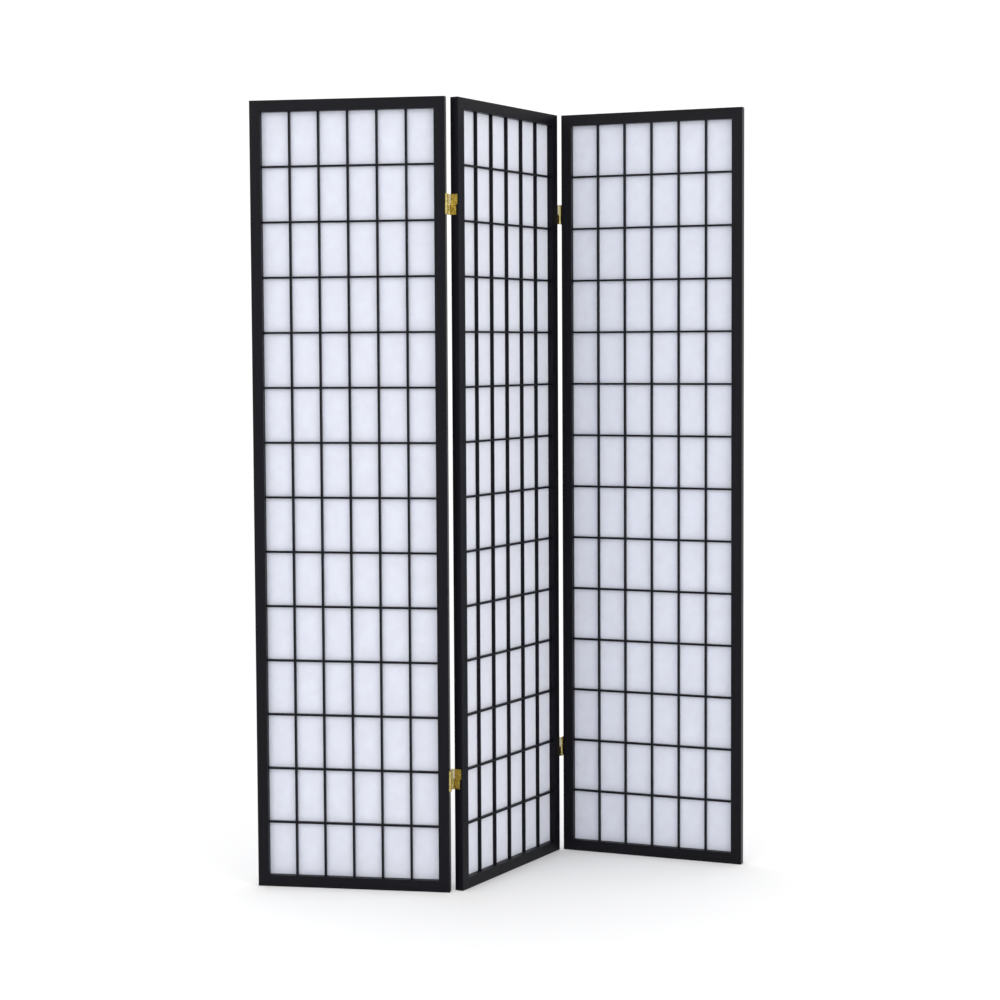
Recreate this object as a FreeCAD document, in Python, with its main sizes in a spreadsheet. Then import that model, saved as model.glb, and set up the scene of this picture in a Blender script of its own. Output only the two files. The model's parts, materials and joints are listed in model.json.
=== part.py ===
import FreeCAD, Part
import os
import Sketcher

# Folding screen of three shoji panels. Each panel is a black softwood frame with a halved
# lattice housed in its rear rabbet, paper glued to the back of the lattice and mitred beads
# over the paper's edge. Four two-way hinges, two at each fold, let the panels fold both ways.
# Lengths are in millimetres. Up is +Z, the viewer stands on the -Y side, and the origin is on
# the floor at the middle of the footprint.

SIZES = {
    # one panel
    "panel_height": 1784,
    "panel_width": 446,
    "panel_thickness": 21,
    "stile_width": 25,
    "rail_width": 26,
    "edge_chamfer": 1,
    # mortise and tenon at each corner of the frame
    "tenon_thickness": 7,
    "tenon_length": 18,
    "tenon_shoulder": 5,
    "tenon_set_back": 5,
    "mortise_relief": 0.5,
    # lattice, in panes across and up
    "columns": 6,
    "rows": 14,
    "slat_width": 4.5,
    "slat_depth": 7.6,
    "lattice_set_back": 6.8,
    "slat_housing": 4,
    "slat_play": 0.1,
    # paper and the beads that hold its edge in the rabbet
    "rabbet_width": 5,
    "paper_thickness": 0.4,
    "paper_margin": 0.6,
    "bead_play": 0.2,
    # two-way hinge
    "hinge_height": 46,
    "hinge_drop": 237,
    "hinge_rise": 255,
    "panel_gap": 6.4,
    "pin_stand_off": 3.5,
    "sheet_thickness": 1.5,
    "pin_radius": 1.65,
    "pin_play": 0.05,
    "knuckle_play": 0.3,
    "leaf_rim_upper": 2.5,
    "leaf_rim_lower": 6,
    # how far the two folds stand open, in degrees from flat
    "left_fold_angle": 68,
    "right_fold_angle": 80,
}

PANELS = ("left_panel", "middle_panel", "right_panel")
FOLDS = ("left_fold", "right_fold")
HINGES = ("lower", "upper")
Z_AXIS = FreeCAD.Vector(0, 0, 1)
Y_AXIS = FreeCAD.Vector(0, 1, 0)
QUARTER_TURN = 90
HALF_TURN = 180
NEAR = 0.01
LEAST_CUT = 0.01

doc = FreeCAD.newDocument("folding_screen")
sheet = doc.addObject("Spreadsheet::Sheet", "sizes")
for row, (alias, value) in enumerate(SIZES.items(), start=1):
    sheet.set(f"A{row}", alias.replace("_", " "))
    sheet.set(f"B{row}", str(value))
    sheet.setAlias(f"B{row}", alias)
doc.recompute()

nodes = []


def size(alias):
    """The value of one cell of the sheet."""
    return float(sheet.get(alias))


def named(text):
    """An expression in which each alias points at its cell."""
    words = sorted(SIZES, key=len, reverse=True)
    for number, word in enumerate(words):
        text = text.replace(word, f"<{number}>")
    for number, word in enumerate(words):
        text = text.replace(f"<{number}>", f"sizes.{word}")
    return text


def value_of(text):
    """The number that an expression of the cells gives."""
    return float(sheet.evalExpression(named(text).replace("sizes.", "")))


# Measures that several pieces share, as expressions of the cells.
CLEAR_WIDTH = "(panel_width - 2 * stile_width)"
CLEAR_HEIGHT = "(panel_height - 2 * rail_width)"
PANE_WIDTH = f"(({CLEAR_WIDTH} - (columns - 1) * slat_width) / columns)"
PANE_HEIGHT = f"(({CLEAR_HEIGHT} - (rows - 1) * slat_width) / rows)"
COLUMN_PITCH = f"({PANE_WIDTH} + slat_width)"
ROW_PITCH = f"({PANE_HEIGHT} + slat_width)"
PAPER_FACE = "(lattice_set_back + slat_depth)"
RECESS_DEPTH = f"(panel_thickness - {PAPER_FACE})"
NOTCH_WIDTH = "(slat_width + slat_play)"
RABBET_LEFT = "(stile_width - rabbet_width)"
RABBET_LOW = "(rail_width - rabbet_width)"
PIN_X = "(panel_gap / 2)"
FRONT_PIN_Y = "(-pin_stand_off)"
BACK_PIN_Y = "(panel_thickness + pin_stand_off)"
LEAF_KNUCKLE = "(panel_gap / 2)"
LINK_KNUCKLE = "(panel_gap / 2 - knuckle_play)"
LEAF_BORE = "(pin_radius + pin_play)"
KNUCKLE_HEIGHT = "((hinge_height - knuckle_play) / 2)"


def new_body(name):
    body = doc.addObject("PartDesign::Body", name)
    body.Label = name
    return body


def new_sketch(body, role, offset="0"):
    """A sketch on one of the body's own planes, moved along the plane's normal."""
    sketch = body.newObject("Sketcher::SketchObject", body.Name + "_sketch")
    plane = next(item for item in body.Origin.OriginFeatures if item.Role == role)
    sketch.AttachmentSupport = [(plane, "")]
    sketch.MapMode = "FlatFace"
    sketch.setExpression(".AttachmentOffset.Base.z", named(offset))
    return sketch


def pin_down(sketch, element, point, x, y):
    """Holds one point of the sketch at two expressions."""
    for kind, text in (("DistanceX", x), ("DistanceY", y)):
        number = sketch.addConstraint(
            Sketcher.Constraint(kind, -1, 1, element, point, value_of(text))
        )
        sketch.setExpression(f"Constraints[{number}]", named(text))


def add_polygon(sketch, corners):
    """A closed outline whose corners are pairs of expressions."""
    places = [FreeCAD.Vector(value_of(x), value_of(y), 0) for x, y in corners]
    first = sketch.GeometryCount
    count = len(places)
    for index in range(count):
        line = Part.LineSegment(places[index], places[(index + 1) % count])
        sketch.addGeometry(line, False)
    for index in range(count):
        after = first + (index + 1) % count
        sketch.addConstraint(Sketcher.Constraint("Coincident", first + index, 2, after, 1))
    for index, (x, y) in enumerate(corners):
        pin_down(sketch, first + index, 1, x, y)


def add_rectangle(sketch, left, low, right, high):
    add_polygon(sketch, [(left, low), (right, low), (right, high), (left, high)])


def add_circle(sketch, x, y, radius):
    centre = FreeCAD.Vector(value_of(x), value_of(y), 0)
    element = sketch.addGeometry(Part.Circle(centre, Z_AXIS, value_of(radius)), False)
    pin_down(sketch, element, 3, x, y)
    number = sketch.addConstraint(Sketcher.Constraint("Radius", element, value_of(radius)))
    sketch.setExpression(f"Constraints[{number}]", named(radius))


def pad(body, sketch, length, backwards=False):
    feature = body.newObject("PartDesign::Pad", body.Name + "_pad")
    feature.Profile = sketch
    feature.setExpression("Length", named(length))
    feature.Reversed = backwards
    return feature


def cut(body, sketch, length, backwards=False):
    """A pocket, which must take material away."""
    doc.recompute()
    before = body.Shape.Volume
    feature = body.newObject("PartDesign::Pocket", body.Name + "_pocket")
    feature.Profile = sketch
    feature.setExpression("Length", named(length))
    feature.Reversed = backwards
    doc.recompute()
    if before - body.Shape.Volume < LEAST_CUT:
        raise ValueError(f"{body.Label}: a pocket cuts nothing")
    return feature


def repeat(body, feature, axis_role, extent, copies):
    """Repeats a feature along one of the body's own axes."""
    pattern = body.newObject("PartDesign::LinearPattern", body.Name + "_pattern")
    pattern.Originals = [feature]
    axis = next(item for item in body.Origin.OriginFeatures if item.Role == axis_role)
    pattern.Direction = (axis, [""])
    pattern.setExpression("Length", named(extent))
    pattern.setExpression("Occurrences", named(copies))
    body.Tip = pattern


def ease_edges(body, chosen):
    """Planes a chamfer along the edges of the last feature that the test picks."""
    doc.recompute()
    base = body.Tip
    picked = [
        f"Edge{number}"
        for number, edge in enumerate(base.Shape.Edges, start=1)
        if chosen(edge.BoundBox)
    ]
    chamfer = body.newObject("PartDesign::Chamfer", body.Name + "_chamfer")
    chamfer.Base = (base, picked)
    chamfer.setExpression("Size", named("edge_chamfer"))


def turned(angle, centre=(0, 0, 0), axis=Z_AXIS):
    rotation = FreeCAD.Rotation(axis, angle)
    return FreeCAD.Placement(FreeCAD.Vector(), rotation, FreeCAD.Vector(*centre))


def moved(x, y=0, z=0):
    return FreeCAD.Placement(FreeCAD.Vector(x, y, z), FreeCAD.Rotation())


def keep(thing, place):
    """Puts a finished sub-part at its place and lists it as a node."""
    thing.Placement = place
    nodes.append(thing)


def keep_shapes(name, place, shapes):
    """Several like solids under one name."""
    feature = doc.addObject("Part::Feature", name)
    feature.Label = name
    feature.Shape = Part.makeCompound(shapes)
    keep(feature, place)


def placed_copy(shape, spot):
    copy = shape.copy()
    copy.Placement = spot
    return copy


# --- Frame -------------------------------------------------------------------------------


def stile(name, place):
    """An upright of the frame. Along x it runs from its outer edge inwards, along y from the
    front face backwards and along z up its length. The same upright turned end for end makes
    the other side of the panel."""
    body = new_body(name)
    outline = new_sketch(body, "XZ_Plane")
    add_rectangle(outline, "0", "0", "stile_width", "panel_height")
    pad(body, outline, "panel_thickness", backwards=True)

    inner_side = size("stile_width") - NEAR
    across = size("panel_thickness") - NEAR
    ease_edges(body, lambda box: box.XMin < inner_side and box.YLength < across)

    rabbet = new_sketch(body, "XZ_Plane", "-panel_thickness")
    high = f"panel_height - {RABBET_LOW}"
    add_rectangle(rabbet, RABBET_LEFT, RABBET_LOW, "stile_width", high)
    cut(body, rabbet, RECESS_DEPTH, backwards=True)

    for low, high in (
        ("tenon_shoulder", "rail_width - tenon_shoulder"),
        ("panel_height - rail_width + tenon_shoulder", "panel_height - tenon_shoulder"),
    ):
        mortise = new_sketch(body, "YZ_Plane", "stile_width")
        add_rectangle(mortise, "tenon_set_back", low, "tenon_set_back + tenon_thickness", high)
        cut(body, mortise, "tenon_length + mortise_relief")

    notch = new_sketch(body, "XZ_Plane", f"-{PAPER_FACE}")
    near = "stile_width - slat_housing"
    low = f"rail_width + {PANE_HEIGHT} - slat_play / 2"
    add_rectangle(notch, near, low, "stile_width", f"{low} + {NOTCH_WIDTH}")
    housing = cut(body, notch, "slat_depth", backwards=True)
    repeat(body, housing, "Z_Axis", f"(rows - 2) * {ROW_PITCH}", "rows - 1")
    keep(body, place)


def rail(name, place):
    """A cross member of the frame with a stub tenon at each end. Along x it runs between the
    stiles, along z from its outer edge inwards."""
    body = new_body(name)
    outline = new_sketch(body, "XZ_Plane")
    add_rectangle(outline, "0", "0", CLEAR_WIDTH, "rail_width")
    pad(body, outline, "panel_thickness", backwards=True)
    ease_edges(body, lambda box: box.ZMax < NEAR and box.YLength < NEAR)

    tenons = new_sketch(body, "YZ_Plane", "-tenon_length")
    back = "tenon_set_back + tenon_thickness"
    add_rectangle(tenons, "tenon_set_back", "tenon_shoulder", back, "rail_width - tenon_shoulder")
    pad(body, tenons, f"{CLEAR_WIDTH} + 2 * tenon_length")

    rabbet = new_sketch(body, "XZ_Plane", "-panel_thickness")
    add_rectangle(rabbet, "0", RABBET_LOW, CLEAR_WIDTH, "rail_width")
    cut(body, rabbet, RECESS_DEPTH, backwards=True)

    notch = new_sketch(body, "XZ_Plane", f"-{PAPER_FACE}")
    left = f"{PANE_WIDTH} - slat_play / 2"
    near = "rail_width - slat_housing"
    add_rectangle(notch, left, near, f"{left} + {NOTCH_WIDTH}", "rail_width")
    housing = cut(body, notch, "slat_depth", backwards=True)
    repeat(body, housing, "X_Axis", f"(columns - 2) * {COLUMN_PITCH}", "columns - 1")
    keep(body, place)


# --- Lattice -----------------------------------------------------------------------------


def upright_slat(name, place):
    """A long slat, halved from behind at each crossing. Along z it starts at the end that is
    housed in the bottom rail."""
    body = new_body(name)
    section = new_sketch(body, "XY_Plane")
    add_rectangle(section, "0", "0", "slat_width", "slat_depth")
    pad(body, section, f"{CLEAR_HEIGHT} + 2 * slat_housing")

    lap = new_sketch(body, "YZ_Plane")
    low = f"slat_housing + {PANE_HEIGHT} - slat_play / 2"
    add_rectangle(lap, "slat_depth / 2", low, "slat_depth", f"{low} + {NOTCH_WIDTH}")
    halving = cut(body, lap, "slat_width", backwards=True)
    repeat(body, halving, "Z_Axis", f"(rows - 2) * {ROW_PITCH}", "rows - 1")
    keep(body, place)


def level_slat():
    """A short slat, halved from the front at each crossing, as a pattern for the whole set."""
    body = new_body("level_slat_pattern")
    section = new_sketch(body, "YZ_Plane")
    add_rectangle(section, "0", "0", "slat_depth", "slat_width")
    pad(body, section, f"{CLEAR_WIDTH} + 2 * slat_housing")

    lap = new_sketch(body, "XZ_Plane")
    left = f"slat_housing + {PANE_WIDTH} - slat_play / 2"
    add_rectangle(lap, left, "0", f"{left} + {NOTCH_WIDTH}", "slat_width")
    halving = cut(body, lap, "slat_depth / 2")
    repeat(body, halving, "X_Axis", f"(columns - 2) * {COLUMN_PITCH}", "columns - 1")
    doc.recompute()
    return body.Shape


# --- Paper -------------------------------------------------------------------------------


def paper(name, place):
    """The sheet that is glued to the back of the lattice and reaches into the rabbet."""
    body = new_body(name)
    outline = new_sketch(body, "XZ_Plane")
    left = f"({RABBET_LEFT} + paper_margin)"
    low = f"({RABBET_LOW} + paper_margin)"
    add_rectangle(outline, left, low, f"panel_width - {left}", f"panel_height - {low}")
    pad(body, outline, "paper_thickness", backwards=True)
    keep(body, place)


def bead(length):
    """One mitred strip that holds the paper's edge, as a pattern for all that are that long.
    It has the same play to the rabbet's wall and at each mitre."""
    body = new_body("bead_pattern")
    outline = new_sketch(body, "XZ_Plane")
    corners = [
        ("2 * bead_play", "bead_play"),
        (f"{length} - 2 * bead_play", "bead_play"),
        (f"{length} - rabbet_width - bead_play", "rabbet_width"),
        ("rabbet_width + bead_play", "rabbet_width"),
    ]
    add_polygon(outline, corners)
    pad(body, outline, f"{RECESS_DEPTH} - paper_thickness", backwards=True)
    doc.recompute()
    return body.Shape


# --- Two-way hinge -----------------------------------------------------------------------
# Seen along z, a leaf has the wood behind x = 0 and its pin beyond the panel's face. The link
# joins the pins of two leaves across the thickness. On each pin the leaf's knuckle is the
# lower half of the barrel and the link's knuckle the upper half.


def leaf(name, place):
    """A stamped leaf: its plate lies on the panel's edge, and a tab on its lower half is
    rolled round the pin. The free edge is stepped at half height."""
    body = new_body(name)
    plate = new_sketch(body, "YZ_Plane")
    upper = "panel_thickness - leaf_rim_upper"
    lower = "panel_thickness - leaf_rim_lower"
    corners = [
        (FRONT_PIN_Y, "0"),
        (lower, "0"),
        (lower, "hinge_height / 2"),
        (upper, "hinge_height / 2"),
        (upper, "hinge_height"),
        ("0", "hinge_height"),
        ("0", KNUCKLE_HEIGHT),
        (FRONT_PIN_Y, KNUCKLE_HEIGHT),
    ]
    add_polygon(plate, corners)
    pad(body, plate, "sheet_thickness")

    knuckle = new_sketch(body, "XY_Plane")
    add_circle(knuckle, PIN_X, FRONT_PIN_Y, LEAF_KNUCKLE)
    pad(body, knuckle, KNUCKLE_HEIGHT)

    bore = new_sketch(body, "XY_Plane")
    add_circle(bore, PIN_X, FRONT_PIN_Y, LEAF_BORE)
    cut(body, bore, KNUCKLE_HEIGHT, backwards=True)
    keep(body, place)


def link(name, place):
    """The plate between two leaves, with a knuckle rolled round each of the two pins."""
    body = new_body(name)
    near = "knuckle_play"
    far = "panel_thickness - knuckle_play"
    low = f"(hinge_height - {KNUCKLE_HEIGHT})"
    plate = new_sketch(body, "YZ_Plane", f"{PIN_X} - sheet_thickness / 2")
    corners = [
        (near, "0"),
        (far, "0"),
        (far, low),
        (BACK_PIN_Y, low),
        (BACK_PIN_Y, "hinge_height"),
        (FRONT_PIN_Y, "hinge_height"),
        (FRONT_PIN_Y, low),
        (near, low),
    ]
    add_polygon(plate, corners)
    pad(body, plate, "sheet_thickness")

    knuckles = new_sketch(body, "XY_Plane", low)
    bores = new_sketch(body, "XY_Plane", low)
    for pin_y in (FRONT_PIN_Y, BACK_PIN_Y):
        add_circle(knuckles, PIN_X, pin_y, LINK_KNUCKLE)
        add_circle(bores, PIN_X, pin_y, "pin_radius")
    pad(body, knuckles, KNUCKLE_HEIGHT)
    cut(body, bores, KNUCKLE_HEIGHT, backwards=True)
    keep(body, place)


def hinge_pin():
    """A pin as long as the hinge is high, as a pattern for all of them."""
    body = new_body("hinge_pin_pattern")
    section = new_sketch(body, "XY_Plane")
    add_circle(section, "0", "0", "pin_radius")
    pad(body, section, "hinge_height")
    doc.recompute()
    return body.Shape


# --- Where things stand ------------------------------------------------------------------

width = size("panel_width")
height = size("panel_height")
thickness = size("panel_thickness")
inside = size("stile_width")
lattice_front = size("lattice_set_back")
housing_depth = size("slat_housing")
half_hinge = size("hinge_height") / 2
hinge_foot = {
    "lower": size("hinge_rise") - half_hinge,
    "upper": height - size("hinge_drop") - half_hinge,
}
pin_x = width + value_of(PIN_X)
front_pin = (pin_x, value_of(FRONT_PIN_Y), 0)
back_pin = (pin_x, value_of(BACK_PIN_Y), 0)
next_panel = moved(width + size("panel_gap"))

# The left fold is open at its back pins, the right fold at its front pins.
panel_place = {"left_panel": moved(0)}
link_place = {"left_fold": panel_place["left_panel"]}
opened_back = turned(size("left_fold_angle"), back_pin)
panel_place["middle_panel"] = link_place["left_fold"] * opened_back * next_panel
opened_front = turned(-size("right_fold_angle"), front_pin)
link_place["right_fold"] = panel_place["middle_panel"] * opened_front
panel_place["right_panel"] = link_place["right_fold"] * next_panel

end_for_end = turned(HALF_TURN, axis=Y_AXIS)
on_end = turned(-QUARTER_TURN, axis=Y_AXIS)
level_slat_shape = level_slat()
level_bead = bead(f"(panel_width - 2 * {RABBET_LEFT})")
upright_bead = bead(f"(panel_height - 2 * {RABBET_LOW})")
pin_shape = hinge_pin()
pane_width = value_of(PANE_WIDTH)
pane_height = value_of(PANE_HEIGHT)
column_pitch = value_of(COLUMN_PITCH)
row_pitch = value_of(ROW_PITCH)
paper_face = value_of(PAPER_FACE)
rabbet_left = value_of(RABBET_LEFT)
rabbet_low = value_of(RABBET_LOW)
upright_count = round(size("columns")) - 1
level_count = round(size("rows")) - 1


def beads(name, place):
    """The four beads round one sheet of paper."""
    seat = paper_face + size("paper_thickness")
    right = width - rabbet_left
    high = height - rabbet_low
    strips = [
        placed_copy(level_bead, moved(rabbet_left, seat, rabbet_low)),
        placed_copy(level_bead, moved(right, seat, high) * end_for_end),
        placed_copy(upright_bead, moved(right, seat, rabbet_low) * on_end),
        placed_copy(upright_bead, moved(rabbet_left, seat, high) * end_for_end * on_end),
    ]
    keep_shapes(name, place, strips)


def panel(name):
    """One panel, from its frame to its paper."""
    here = panel_place[name]
    stile(f"{name}_stile_left", here)
    stile(f"{name}_stile_right", here * moved(width, 0, height) * end_for_end)
    rail(f"{name}_rail_bottom", here * moved(inside))
    rail(f"{name}_rail_top", here * moved(width - inside, 0, height) * end_for_end)

    foot = size("rail_width") - housing_depth
    for index in range(upright_count):
        left = inside + pane_width + index * column_pitch
        upright_slat(f"{name}_slat_upright_{index + 1}", here * moved(left, lattice_front, foot))
    end = inside - housing_depth
    first = size("rail_width") + pane_height
    spots = [moved(end, lattice_front, first + index * row_pitch) for index in range(level_count)]
    levels = [placed_copy(level_slat_shape, spot) for spot in spots]
    keep_shapes(f"{name}_slats_level", here, levels)

    paper(f"{name}_paper", here * moved(0, paper_face))
    beads(f"{name}_paper_beads", here)


def fold_hinges(fold, first, second):
    """The two hinges of one fold, with their pins."""
    pins = []
    for hinge in HINGES:
        foot = hinge_foot[hinge]
        on_first = panel_place[first] * moved(width, 0, foot)
        on_second = panel_place[second] * moved(0, thickness, foot) * turned(HALF_TURN)
        leaf(f"{fold}_{hinge}_leaf_left", on_first)
        link(f"{fold}_{hinge}_link", link_place[fold] * moved(width, 0, foot))
        leaf(f"{fold}_{hinge}_leaf_right", on_second)
        for x, y, _ in (front_pin, back_pin):
            pins.append(placed_copy(pin_shape, moved(x, y, foot)))
    keep_shapes(f"{fold}_hinge_pins", link_place[fold], pins)


for panel_name in PANELS:
    panel(panel_name)
for fold_name, left_name, right_name in zip(FOLDS, PANELS, PANELS[1:]):
    fold_hinges(fold_name, left_name, right_name)
doc.recompute()

# The origin goes to the middle of the footprint, on the floor.
reach = FreeCAD.BoundBox()
for node in nodes:
    reach.add(node.Shape.BoundBox)
centring = moved(-reach.Center.x, -reach.Center.y, -reach.ZMin)
for node in nodes:
    node.Placement = centring * node.Placement
doc.recompute()

for thing in doc.Objects:
    if "Invalid" in thing.State or "Error" in thing.State:
        raise ValueError(f"{thing.Label} failed: {thing.State}")
for node in nodes:
    if node.Shape.isNull() or not node.Shape.isValid():
        raise ValueError(f"{node.Label} has no sound shape")

os.makedirs("parts", exist_ok=True)
for node in nodes:
    node.Shape.exportStep(f"parts/{node.Label}.step")

print(len(nodes), "nodes")
for title, place, pin in (
    ("left fold front pin", panel_place["left_panel"], front_pin),
    ("left fold back pin", link_place["left_fold"], back_pin),
    ("right fold front pin", panel_place["middle_panel"], front_pin),
    ("right fold back pin", link_place["right_fold"], back_pin),
):
    print(title, (centring * place).multVec(FreeCAD.Vector(*pin)))
middle = FreeCAD.Vector(width / 2, thickness / 2, 0)
for panel_name in PANELS:
    print(panel_name, "foot", (centring * panel_place[panel_name]).multVec(middle))
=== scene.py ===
import json
import math
import random

import bpy
from mathutils import Matrix, Vector


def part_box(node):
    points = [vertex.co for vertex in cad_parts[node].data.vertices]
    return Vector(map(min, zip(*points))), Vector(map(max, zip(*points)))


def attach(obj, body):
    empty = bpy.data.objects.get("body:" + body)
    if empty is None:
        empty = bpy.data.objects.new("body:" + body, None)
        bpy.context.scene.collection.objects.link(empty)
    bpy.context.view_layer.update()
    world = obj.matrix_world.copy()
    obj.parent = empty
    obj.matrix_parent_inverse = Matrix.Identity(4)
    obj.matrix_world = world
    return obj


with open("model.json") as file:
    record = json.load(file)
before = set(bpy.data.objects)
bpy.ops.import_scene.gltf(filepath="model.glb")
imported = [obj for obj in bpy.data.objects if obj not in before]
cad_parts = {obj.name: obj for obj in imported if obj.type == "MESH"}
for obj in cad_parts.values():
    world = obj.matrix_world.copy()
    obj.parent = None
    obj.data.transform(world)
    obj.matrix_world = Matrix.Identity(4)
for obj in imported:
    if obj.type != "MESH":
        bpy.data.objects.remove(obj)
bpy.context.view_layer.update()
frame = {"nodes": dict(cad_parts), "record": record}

# --- Stiles, rails, slats and beads ---------------------------------------------------------
# The frames and the lattice are planed softwood, glued up and then sprayed satin black. The
# paint is thin, so the grain still shows through it as fine streaks along each piece.
MM = 0.001
LEFT_FOLD = math.radians(68)
RIGHT_FOLD = math.radians(80)
PANEL_TURN = {
    "left_panel": 0.0,
    "middle_panel": LEFT_FOLD,
    "right_panel": LEFT_FOLD - RIGHT_FOLD,
}
GRAIN_WIDTH = 2.4 * MM      # drawn coarser than real grain, which is too fine for the picture
GRAIN_LENGTH = 160 * MM
PORE_WIDTH = 0.8 * MM
GRAIN_RELIEF = 0.12 * MM
PAINT_IN_HOLLOWS = "#08080d"
PAINT_ON_RIDGES = "#121219"
PAINT_SMOOTHEST = 0.34
PAINT_ROUGHEST = 0.46
PAINT_SHINE = 0.12          # low, as a thin satin coat reflects little
NOISE_LOW = 0.3             # a noise seldom leaves this range
NOISE_HIGH = 0.7


def linear(colour):
    """An sRGB hex colour as linear red, green, blue and alpha."""
    parts = [int(colour[start:start + 2], 16) / 255 for start in (1, 3, 5)]
    parts = [part / 12.92 if part <= 0.04045 else ((part + 0.055) / 1.055) ** 2.4 for part in parts]
    return (*parts, 1.0)


def add_node(tree, kind, inputs=(), **settings):
    """Adds one node. Each of its inputs, by name or number, gets a value or the output that
    feeds it."""
    node = tree.nodes.new(kind)
    for name, value in settings.items():
        setattr(node, name, value)
    for key, value in dict(inputs).items():
        if isinstance(value, bpy.types.NodeSocket):
            tree.links.new(value, node.inputs[key])
        else:
            node.inputs[key].default_value = value
    return node


def new_finish(name):
    """A material with nothing in it yet."""
    finish = bpy.data.materials.new(name)
    finish.use_nodes = True
    finish.node_tree.nodes.clear()
    return finish


def dress(words, finish):
    """Gives the finish to each piece of the frame whose name holds one of the words."""
    for name, piece in frame["nodes"].items():
        if any(word in name for word in words):
            for holder in piece.material_slots:
                holder.material = finish


# Satin black lacquer over softwood: nearly black, with soft broad highlights and streaks
# along the grain in its tone and its relief, and fine pores that break up its sheen.
def satin_black_paint(name, turn, grain):
    finish = new_finish(name)
    tree = finish.node_tree
    here = add_node(tree, "ShaderNodeTexCoord").outputs["Object"]
    lying = {"Vector": here, "Rotation": (0, 0, turn), "Scale": grain}
    laid = add_node(tree, "ShaderNodeMapping", lying, vector_type="TEXTURE").outputs["Vector"]
    wavy = {"Vector": laid, "Scale": 1.0, "Detail": 4.0, "Roughness": 0.6, "Distortion": 0.4}
    streaks = add_node(tree, "ShaderNodeTexNoise", wavy).outputs["Fac"]
    fine = {"Vector": laid, "Scale": GRAIN_WIDTH / PORE_WIDTH, "Detail": 2.0}
    pores = add_node(tree, "ShaderNodeTexNoise", fine).outputs["Fac"]
    spread = {"Value": streaks, "From Min": NOISE_LOW, "From Max": NOISE_HIGH}
    ridges = add_node(tree, "ShaderNodeMapRange", spread).outputs["Result"]
    shades = {0: ridges, 6: linear(PAINT_IN_HOLLOWS), 7: linear(PAINT_ON_RIDGES)}
    tone = add_node(tree, "ShaderNodeMix", shades, data_type="RGBA").outputs[2]
    worn = {
        "Value": pores,
        "From Min": NOISE_LOW,
        "From Max": NOISE_HIGH,
        "To Min": PAINT_SMOOTHEST,
        "To Max": PAINT_ROUGHEST,
    }
    sheen = add_node(tree, "ShaderNodeMapRange", worn).outputs["Result"]
    heights = {0: streaks, 1: pores}
    height = add_node(tree, "ShaderNodeMath", heights, operation="ADD").outputs["Value"]
    raised = {"Height": height, "Distance": GRAIN_RELIEF, "Strength": 0.35}
    relief = add_node(tree, "ShaderNodeBump", raised).outputs["Normal"]
    surface = {"Base Color": tone, "Roughness": sheen, "Normal": relief}
    paint = add_node(tree, "ShaderNodeBsdfPrincipled", surface)
    paint.inputs["IOR"].default_value = 1.5
    paint.inputs["Specular IOR Level"].default_value = PAINT_SHINE
    add_node(tree, "ShaderNodeOutputMaterial", {"Surface": paint.outputs["BSDF"]})
    return finish


UPRIGHT_GRAIN = (GRAIN_WIDTH, GRAIN_WIDTH, GRAIN_LENGTH)
LEVEL_GRAIN = (GRAIN_LENGTH, GRAIN_WIDTH, GRAIN_WIDTH)
for panel, turn in PANEL_TURN.items():
    side = panel.split("_")[0]
    upright = satin_black_paint(f"satin_black_paint_upright_{side}", turn, UPRIGHT_GRAIN)
    dress([f"{panel}_stile", f"{panel}_slat_upright", f"{panel}_paper_beads"], upright)
    level = satin_black_paint(f"satin_black_paint_level_{side}", turn, LEVEL_GRAIN)
    dress([f"{panel}_rail", f"{panel}_slats_level"], level)

# --- Paper ----------------------------------------------------------------------------------
# One sheet of white shoji paper for each panel, mostly wood pulp with long fibres through it,
# pasted to the back of the lattice. It is thin, so the black slats behind it show faintly;
# that is painted shade, a grey band in the paper's colour along each slat.
PAPER_THIN = "#d5d7df"
PAPER_THICK = "#dadce5"
# Painted shade: the grey of the paper where a black slat behind it shows through.
PAPER_IN_PAINTED_SLAT_SHADE = "#b3b6c1"
CLOUD_SIZE = 28 * MM
CLOUD_SHARE = 0.75          # how much of the sheet's thickness varies with the clouds of pulp
FIBRE_SHARE = 0.25
FIBRE_LOOP = 11 * MM        # how far apart the curls of the long fibres lie
FIBRE_BAND = 0.018
# How far the painted slat shade fades out on each side of a slat.
SLAT_SHADE_SPREAD = 0.8 * MM
PAPER_RELIEF = 0.05 * MM
LIGHT_REACH = 0.5 * MM      # how far light spreads inside the sheet
LEVEL_SLATS = 13

panel_foot = {}
for mount in frame["record"]["mounts"]:
    panel_foot[mount["name"].replace("base_", "") + "_panel"] = Vector(mount["pos_m"])

first_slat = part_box("left_panel_slat_upright_1")
second_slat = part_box("left_panel_slat_upright_2")
level_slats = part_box("left_panel_slats_level")
slat_width = first_slat[1][0] - first_slat[0][0]
column_pitch = second_slat[0][0] - first_slat[0][0]
row_pitch = (level_slats[1][2] - level_slats[0][2] - slat_width) / (LEVEL_SLATS - 1)
mid_height = (level_slats[1][2] + level_slats[0][2]) / 2
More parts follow.
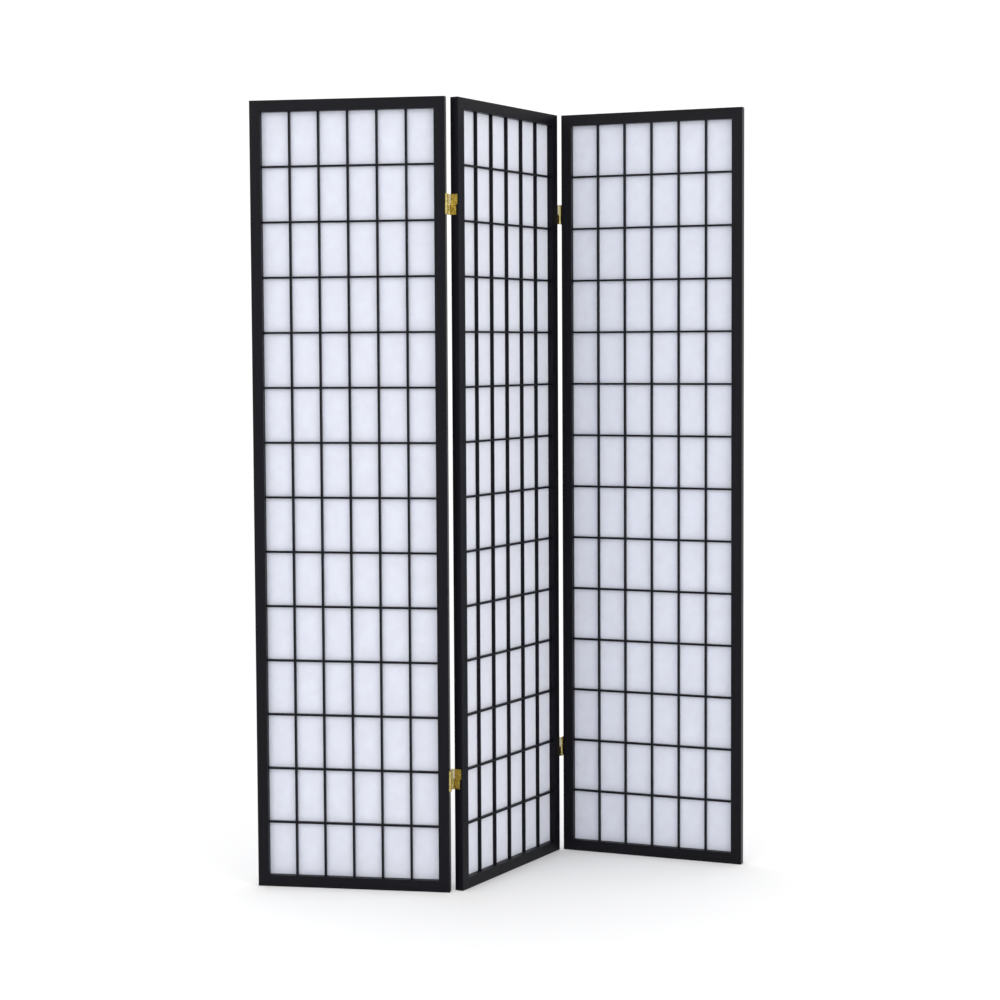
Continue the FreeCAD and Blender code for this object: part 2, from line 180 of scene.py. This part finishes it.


# Shoji paper: matt and slightly blue white, a little cloudy, with fine curled fibres that
# stand out lighter, and painted shade: a grey shadow of the lattice along each slat behind it.
def shoji_paper(name, foot, turn):
    finish = new_finish(name)
    tree = finish.node_tree
    here = add_node(tree, "ShaderNodeTexCoord").outputs["Object"]
    centre = (foot[0], foot[1], mid_height)
    lying = {"Vector": here, "Location": centre, "Rotation": (0, 0, turn)}
    laid = add_node(tree, "ShaderNodeMapping", lying, vector_type="TEXTURE").outputs["Vector"]
    cloudy = {"Vector": laid, "Scale": 1 / CLOUD_SIZE, "Detail": 4.0, "Roughness": 0.6}
    clouds = add_node(tree, "ShaderNodeTexNoise", cloudy).outputs["Fac"]
    curled = {"Vector": laid, "Scale": 1 / FIBRE_LOOP, "Detail": 3.0, "Distortion": 1.6}
    curls = add_node(tree, "ShaderNodeTexNoise", curled).outputs["Fac"]
    about = add_node(tree, "ShaderNodeMath", {0: curls, 1: 0.5}, operation="SUBTRACT")
    away = add_node(tree, "ShaderNodeMath", {0: about.outputs["Value"]}, operation="ABSOLUTE")
    narrowed = {"Value": away.outputs["Value"], "From Max": FIBRE_BAND, "To Min": 1, "To Max": 0}
    fibres = add_node(tree, "ShaderNodeMapRange", narrowed).outputs["Result"]
    spread = {"Value": clouds, "From Min": 0.35, "From Max": 0.65, "To Max": CLOUD_SHARE}
    pulp = add_node(tree, "ShaderNodeMapRange", spread).outputs["Result"]
    thickened = {0: fibres, 1: FIBRE_SHARE, 2: pulp}
    body = add_node(tree, "ShaderNodeMath", thickened, operation="MULTIPLY_ADD").outputs["Value"]
    whites = {0: body, 6: linear(PAPER_THIN), 7: linear(PAPER_THICK)}
    white = add_node(tree, "ShaderNodeMix", whites, data_type="RGBA").outputs[2]

    # Painted shade: a grey band along each slat line, where the black lattice shows through the
    # paper.
    parts = add_node(tree, "ShaderNodeSeparateXYZ", {"Vector": laid})
    bands = []
    for axis, pitch in (("X", column_pitch), ("Z", row_pitch)):
        folded = {0: parts.outputs[axis], 1: pitch / 2}
        from_slat = add_node(tree, "ShaderNodeMath", folded, operation="PINGPONG")
        slat_shade_band = {
            "Value": from_slat.outputs["Value"],
            "From Min": slat_width / 2 - SLAT_SHADE_SPREAD,
            "From Max": slat_width / 2 + SLAT_SHADE_SPREAD,
            "To Min": 1,
            "To Max": 0,
        }
        bands.append(add_node(tree, "ShaderNodeMapRange", slat_shade_band).outputs["Result"])
    painted_slat_shade = add_node(tree, "ShaderNodeMath", {0: bands[0], 1: bands[1]}, operation="MAXIMUM")
    slat_shaded = {0: painted_slat_shade.outputs["Value"], 6: white, 7: linear(PAPER_IN_PAINTED_SLAT_SHADE)}
    tone = add_node(tree, "ShaderNodeMix", slat_shaded, data_type="RGBA").outputs[2]

    raised = {"Height": body, "Distance": PAPER_RELIEF, "Strength": 0.5}
    relief = add_node(tree, "ShaderNodeBump", raised).outputs["Normal"]
    sheet = add_node(tree, "ShaderNodeBsdfPrincipled", {"Base Color": tone, "Normal": relief})
    sheet.inputs["IOR"].default_value = 1.45
    sheet.inputs["Roughness"].default_value = 0.9
    sheet.inputs["Specular IOR Level"].default_value = 0.25
    sheet.inputs["Subsurface Weight"].default_value = 1.0
    sheet.inputs["Subsurface Radius"].default_value = (1.0, 1.0, 1.0)
    sheet.inputs["Subsurface Scale"].default_value = LIGHT_REACH
    add_node(tree, "ShaderNodeOutputMaterial", {"Surface": sheet.outputs["BSDF"]})
    return finish


for panel, turn in PANEL_TURN.items():
    paper = shoji_paper(f"shoji_paper_{panel.split('_')[0]}", panel_foot[panel], turn)
    for holder in frame["nodes"][f"{panel}_paper"].material_slots:
        holder.material = paper

# --- Two-way hinges -------------------------------------------------------------------------
# Stamped sheet steel with a satin brass plate: two leaves rolled round their pins, and a link
# between the pins. The steel pins are plated like the rest.
# Dull and bright plate colours: partly the plating's own tone, partly painted glints and dark
# reflections.
PLATE_DULL = "#978850"
PLATE_BRIGHT = "#cfc07e"
PLATE_MOTTLE = 3 * MM
PLATE_RELIEF = 0.03 * MM
PLATE_SMOOTHEST = 0.22
PLATE_ROUGHEST = 0.36

# Satin brass plate: yellow metal, mottled partly by pressing and handling and partly by painted
# reflection, whose bright patches stand in for glints and dull patches for dark reflections;
# it is smoother where it is bright.
brass = new_finish("brass_plate")
tree = brass.node_tree
here = add_node(tree, "ShaderNodeTexCoord").outputs["Object"]
uneven = {"Vector": here, "Scale": 1 / PLATE_MOTTLE, "Detail": 3.0}
mottle = add_node(tree, "ShaderNodeTexNoise", uneven).outputs["Fac"]
spread = {"Value": mottle, "From Min": 0.38, "From Max": 0.64}
glints_and_wear = add_node(tree, "ShaderNodeMapRange", spread).outputs["Result"]
metals = {0: glints_and_wear, 6: linear(PLATE_DULL), 7: linear(PLATE_BRIGHT)}
tone = add_node(tree, "ShaderNodeMix", metals, data_type="RGBA").outputs[2]
worn = {
    "Value": mottle,
    "From Min": NOISE_LOW,
    "From Max": NOISE_HIGH,
    "To Min": PLATE_ROUGHEST,
    "To Max": PLATE_SMOOTHEST,
}
sheen = add_node(tree, "ShaderNodeMapRange", worn).outputs["Result"]
raised = {"Height": mottle, "Distance": PLATE_RELIEF, "Strength": 0.4}
relief = add_node(tree, "ShaderNodeBump", raised).outputs["Normal"]
surface = {"Base Color": tone, "Roughness": sheen, "Normal": relief}
plated = add_node(tree, "ShaderNodeBsdfPrincipled", surface)
plated.inputs["Metallic"].default_value = 1.0
add_node(tree, "ShaderNodeOutputMaterial", {"Surface": plated.outputs["BSDF"]})
dress(["_fold_"], brass)

# --- Wood screws in the hinge leaves --------------------------------------------------------
# Two small oval-head wood screws through each leaf, with a cross recess, plated like the
# hinge. Each head is driven down to the leaf and left at whatever turn it came to rest.
QUARTER_TURN = math.pi / 2
FACING = 0.9                # how straight a face must point along an axis to count as its end
HEAD_SIDES = 32
HEAD_RADIUS = 2.8 * MM
HEAD_RISE = 0.6 * MM
HEAD_SEAT = 0.3 * MM
HEAD_SLOPES = (0, 22, 44, 66)
HEAD_SMOOTH_BELOW = 30
RECESS_LENGTH = 3.2 * MM
RECESS_WIDTH = 0.75 * MM
RECESS_DEPTH = 0.9 * MM
RECESS_TAPER = 0.6
SCREW_SPACING = 20 * MM
LEAF_THICKNESS = 1.5 * MM
LEAVES = (
    ("left_panel", 1, "left_fold", "leaf_left"),
    ("middle_panel", -1, "left_fold", "leaf_right"),
    ("middle_panel", 1, "right_fold", "leaf_left"),
    ("right_panel", -1, "right_fold", "leaf_right"),
)


def deselect_all():
    """In object mode, leaves nothing selected."""
    bpy.ops.object.select_all(action="DESELECT")


def pick_faces(piece, chosen):
    """In edit mode, selects just the faces that the test picks."""
    bpy.ops.mesh.select_mode(type="FACE")
    bpy.ops.mesh.select_all(action="DESELECT")
    bpy.ops.object.mode_set(mode="OBJECT")
    for face in piece.data.polygons:
        face.select = chosen(face)
    bpy.ops.object.mode_set(mode="EDIT")


def put_copy(pattern, name, spot):
    """A copy with a mesh of its own, and with its place in that mesh."""
    copy = pattern.copy()
    copy.data = pattern.data.copy()
    copy.name = name
    bpy.context.scene.collection.objects.link(copy)
    copy.data.transform(spot)
    return copy


deselect_all()
bpy.ops.mesh.primitive_cylinder_add(
    vertices=HEAD_SIDES, radius=HEAD_RADIUS, depth=HEAD_SEAT, location=(0, 0, -HEAD_SEAT / 2)
)
screw = bpy.context.object
bpy.ops.object.mode_set(mode="EDIT")
pick_faces(screw, lambda face: face.normal.z > FACING)
for lower, upper in zip(HEAD_SLOPES, HEAD_SLOPES[1:]):
    low, high = math.radians(lower), math.radians(upper)
    rise = HEAD_RISE * (math.sin(high) - math.sin(low))
    bpy.ops.mesh.extrude_region_move(TRANSFORM_OT_translate={"value": (0, 0, rise)})
    closing = math.cos(high) / math.cos(low)
    bpy.ops.transform.resize(value=(closing, closing, 1), center_override=(0, 0, 0))
bpy.ops.object.mode_set(mode="OBJECT")

for turn in (0, QUARTER_TURN):
    deselect_all()
    bpy.ops.mesh.primitive_cube_add(size=1, location=(0, 0, HEAD_RISE), rotation=(0, 0, turn))
    blade = bpy.context.object
    blade.scale = (RECESS_LENGTH, RECESS_WIDTH, RECESS_DEPTH)
    bpy.ops.object.transform_apply(location=True, rotation=True, scale=True)
    bpy.ops.object.mode_set(mode="EDIT")
    pick_faces(blade, lambda face: face.normal.z < -FACING)
    bpy.ops.transform.resize(value=(RECESS_TAPER, RECESS_TAPER, 1), center_override=(0, 0, 0))
    bpy.ops.object.mode_set(mode="OBJECT")
    recess = screw.modifiers.new("recess", "BOOLEAN")
    recess.operation = "DIFFERENCE"
    recess.object = blade
    bpy.context.view_layer.objects.active = screw
    bpy.ops.object.modifier_apply(modifier=recess.name)
    bpy.data.objects.remove(blade)

deselect_all()
screw.select_set(True)
bpy.context.view_layer.objects.active = screw
bpy.ops.object.transform_apply(location=True, rotation=True, scale=True)
bpy.ops.object.shade_smooth_by_angle(angle=math.radians(HEAD_SMOOTH_BELOW))
screw.data.materials.clear()
screw.data.materials.append(brass)

left_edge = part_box("left_panel_stile_left")[0][0]
right_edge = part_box("left_panel_stile_right")[1][0]
half_width = (right_edge - left_edge) / 2
panel_spot = {}
for panel, foot in panel_foot.items():
    panel_spot[panel] = Matrix.Translation(foot) @ Matrix.Rotation(PANEL_TURN[panel], 4, "Z")

turns = random.Random(7)
for panel, side, fold, leaf in LEAVES:
    out = side * (half_width + LEAF_THICKNESS)
    for hinge in ("lower", "upper"):
        low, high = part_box(f"{fold}_{hinge}_{leaf}")
        for step, number in ((-0.5, 1), (0.5, 2)):
            height = (low[2] + high[2]) / 2 + step * SCREW_SPACING
            spot = panel_spot[panel] @ Matrix.Translation((out, 0, height))
            spot = spot @ Matrix.Rotation(side * QUARTER_TURN, 4, "Y")
            spot = spot @ Matrix.Rotation(turns.uniform(0, QUARTER_TURN), 4, "Z")
            piece = put_copy(screw, f"{fold}_{hinge}_{leaf}_screw_{number}", spot)
            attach(piece, panel)
bpy.data.objects.remove(screw)

# --- Brads in the paper beads ---------------------------------------------------------------
# Small brass-plated brads hold the beads over the paper's edge at the back of each panel.
# Their domed heads stand a little proud of the bead.
BRAD_SIDES = 12
BRAD_RADIUS = 0.9 * MM
BRAD_RISE = 0.35 * MM
BRAD_CROWN = 0.6
BRAD_SMOOTH_BELOW = 50
BRAD_SPACING = 88 * MM
BRAD_FROM_END = 30 * MM
BEAD_WIDTH = 4.8 * MM

deselect_all()
bpy.ops.mesh.primitive_cylinder_add(vertices=BRAD_SIDES, radius=BRAD_RADIUS, depth=BRAD_RISE)
brad = bpy.context.object
bpy.ops.object.mode_set(mode="EDIT")
pick_faces(brad, lambda face: face.normal.z > FACING)
bpy.ops.mesh.extrude_region_move(TRANSFORM_OT_translate={"value": (0, 0, BRAD_RISE / 2)})
bpy.ops.transform.resize(value=(BRAD_CROWN, BRAD_CROWN, 1), center_override=(0, 0, 0))
bpy.ops.object.mode_set(mode="OBJECT")
bpy.ops.object.shade_smooth_by_angle(angle=math.radians(BRAD_SMOOTH_BELOW))
brad.data.materials.clear()
brad.data.materials.append(brass)


def brad_places(low, high):
    """Where the brads stand along one bead, evenly spaced between its ends."""
    run = high - low - 2 * BRAD_FROM_END
    gaps = round(run / BRAD_SPACING)
    return [low + BRAD_FROM_END + run * number / gaps for number in range(gaps + 1)]


bead_low, bead_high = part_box("left_panel_paper_beads")
bead_low = Vector(bead_low) - panel_foot["left_panel"]
bead_high = Vector(bead_high) - panel_foot["left_panel"]
places = []
for x in (bead_low.x + BEAD_WIDTH / 2, bead_high.x - BEAD_WIDTH / 2):
    places += [(x, z) for z in brad_places(bead_low.z, bead_high.z)]
for z in (bead_low.z + BEAD_WIDTH / 2, bead_high.z - BEAD_WIDTH / 2):
    places += [(x, z) for x in brad_places(bead_low.x, bead_high.x)]
backwards = Matrix.Rotation(-QUARTER_TURN, 4, "X")
for panel, spot in panel_spot.items():
    heads = [
        put_copy(brad, f"{panel}_brads", spot @ Matrix.Translation((x, bead_high.y, z)) @ backwards)
        for x, z in places
    ]
    deselect_all()
    for head in heads:
        head.select_set(True)
    bpy.context.view_layer.objects.active = heads[0]
    bpy.ops.object.join()
    brads = bpy.context.object
    brads.name = f"{panel}_brads"
    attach(brads, panel)
bpy.data.objects.remove(brad)

# --- Floor, light and camera ----------------------------------------------------------------
# A plain pale studio floor under an even white surround, with two large soft lights, a key
# from the upper left front and a fill from the right, and a long lens at chest height.
FLOOR_SIZE = 30
FLOOR_WHITE = "#fbfbfb"
SURROUND = 1.06
LIGHT_AIM = Vector((0, 0, 0.9))
LIGHT_SIZE = 2.4
LIGHTS = (
    ("key", Vector((-2.0, -4.2, 3.2)), 30),
    ("fill", Vector((3.0, -2.6, 2.2)), 22),
)
CAMERA_PLACE = (0.7451, -4.7152, 1.2275)
CAMERA_TILT = (86.5942, 0.3064, 9.1449)
CAMERA_LENS = 73.786
CAMERA_SHIFT = -0.03

deselect_all()
bpy.ops.mesh.primitive_plane_add(size=FLOOR_SIZE)
floor = bpy.context.object
floor.name = "floor"
# Matt white studio paper, rolled out flat: even, with no gloss.
matt = new_finish("studio_floor")
tree = matt.node_tree
ground = add_node(tree, "ShaderNodeBsdfPrincipled", {"Base Color": linear(FLOOR_WHITE)})
ground.inputs["Roughness"].default_value = 0.9
add_node(tree, "ShaderNodeOutputMaterial", {"Surface": ground.outputs["BSDF"]})
floor.data.materials.append(matt)

world = bpy.data.worlds.new("white_surround")
world.use_nodes = True
surround = world.node_tree.nodes["Background"]
surround.inputs["Color"].default_value = (1, 1, 1, 1)
surround.inputs["Strength"].default_value = SURROUND
bpy.context.scene.world = world
bpy.context.scene.view_settings.view_transform = "Standard"

for name, place, power in LIGHTS:
    bpy.ops.object.light_add(type="AREA", location=place)
    light = bpy.context.object
    light.name = name
    light.rotation_euler = (LIGHT_AIM - place).to_track_quat("-Z", "Y").to_euler()
    light.data.shape = "SQUARE"
    light.data.size = LIGHT_SIZE
    light.data.energy = power

tilt = [math.radians(angle) for angle in CAMERA_TILT]
bpy.ops.object.camera_add(location=CAMERA_PLACE, rotation=tilt)
camera = bpy.context.object
camera.data.lens = CAMERA_LENS
camera.data.shift_y = CAMERA_SHIFT
bpy.context.scene.camera = camera
